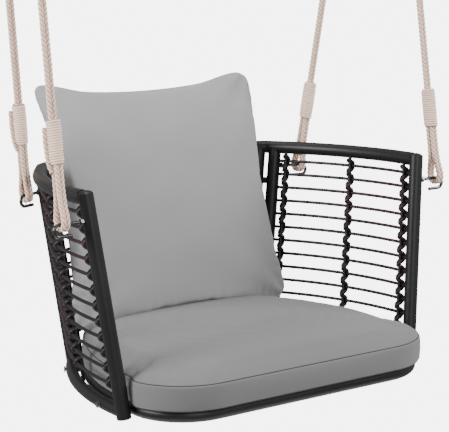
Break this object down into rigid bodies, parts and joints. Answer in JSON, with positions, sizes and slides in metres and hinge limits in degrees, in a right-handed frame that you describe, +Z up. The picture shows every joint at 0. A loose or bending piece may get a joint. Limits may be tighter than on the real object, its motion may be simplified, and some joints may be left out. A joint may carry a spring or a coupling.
{
  "type": "porch swing seat",
  "caption": "Single hanging porch swing seat with bent tube panels, laced rungs, a cushioned ring seat and doubled ropes on open hooks.",
  "frame": {"origin": "middle of the four points that the ropes hang from, which is the mount hanging_points", "axes": "+Z up; the seat faces -Y; +X to the right when looking from the front of the seat towards its back"},
  "size_m": [0.8342, 0.5725, 0.8555],
  "materials": {
    "frame_paint": "satin black powder coat",
    "reed": "black synthetic reed, slightly brown",
    "hook_steel": "black coated steel wire",
    "plated_steel": "zinc plated",
    "seat_cloth": "grey woven polyester",
    "pillow_cloth": "grey woven polyester",
    "rope": "twisted cotton rope",
    "twine": "tightly wound cotton twine"
  },
  "bodies": {
    "ceiling": {"ceiling_hooks": "plated_steel"},
    "seat": {"base_ring": "frame_paint", "seat_bearers": "frame_paint", "front_post_left": "frame_paint", "front_post_right": "frame_paint", "rear_post_left": "frame_paint", "rear_post_right": "frame_paint", "top_rail_left": "frame_paint", "top_rail_right": "frame_paint", "bottom_rail_left": "frame_paint", "bottom_rail_right": "frame_paint", "rungs_left": "reed", "rungs_right": "reed", "uprights_left": "frame_paint", "uprights_right": "frame_paint", "lacing_left": "reed", "lacing_right": "reed", "back_post_left": "frame_paint", "back_post_right": "frame_paint", "back_top_rail": "frame_paint", "back_bottom_rail": "frame_paint", "back_rungs": "reed", "back_uprights": "frame_paint", "back_lacing": "reed", "corner_spacers": "frame_paint", "corner_bolts": "plated_steel", "ring_spacers": "frame_paint", "ring_bolts": "plated_steel", "seat_cushion": "seat_cloth", "back_pillow": "pillow_cloth", "hook_front_left": "hook_steel", "hook_front_right": "hook_steel", "hook_rear_left": "hook_steel", "hook_rear_right": "hook_steel", "hook_nuts": "hook_steel"},
    "hanger_front_left": {"rope_front_left": "rope", "eyes_front_left": "rope", "whippings_front_left": "twine"},
    "hanger_front_right": {"rope_front_right": "rope", "eyes_front_right": "rope", "whippings_front_right": "twine"},
    "hanger_rear_left": {"rope_rear_left": "rope", "eyes_rear_left": "rope", "whippings_rear_left": "twine"},
    "hanger_rear_right": {"rope_rear_right": "rope", "eyes_rear_right": "rope", "whippings_rear_right": "twine"}
  },
  "joints": [
    {"name": "swing_front_left", "type": "hinge", "parent": "ceiling", "child": "hanger_front_left", "pos_m": [-0.39314, -0.09826, 0], "axis": [1, 0, 0], "range_deg": [-12, 12]},
    {"name": "swing_front_right", "type": "hinge", "parent": "ceiling", "child": "hanger_front_right", "pos_m": [0.39314, -0.09826, 0], "axis": [1, 0, 0], "range_deg": [-12.5, 12.5]},
    {"name": "swing_rear_left", "type": "hinge", "parent": "ceiling", "child": "hanger_rear_left", "pos_m": [-0.35246, 0.09826, 0], "axis": [1, 0, 0], "range_deg": [-12.5, 12.5]},
    {"name": "swing_rear_right", "type": "hinge", "parent": "ceiling", "child": "hanger_rear_right", "pos_m": [0.35246, 0.09826, 0], "axis": [1, 0, 0], "range_deg": [-12.5, 12.5]},
    {"name": "seat_tilt", "type": "hinge", "parent": "hanger_front_left", "child": "seat", "pos_m": [-0.39881, -0.15886, -0.436], "axis": [1, 0, 0], "range_deg": [-8, 8]}
  ],
  "couplings": [
    {"joint": "swing_front_right", "follows": "swing_front_left", "ratio": 1},
    {"joint": "swing_rear_left", "follows": "swing_front_left", "ratio": 1.0015},
    {"joint": "swing_rear_right", "follows": "swing_front_left", "ratio": 1.0015},
    {"joint": "seat_tilt", "follows": "swing_front_left", "ratio": -0.6385}
  ]
}
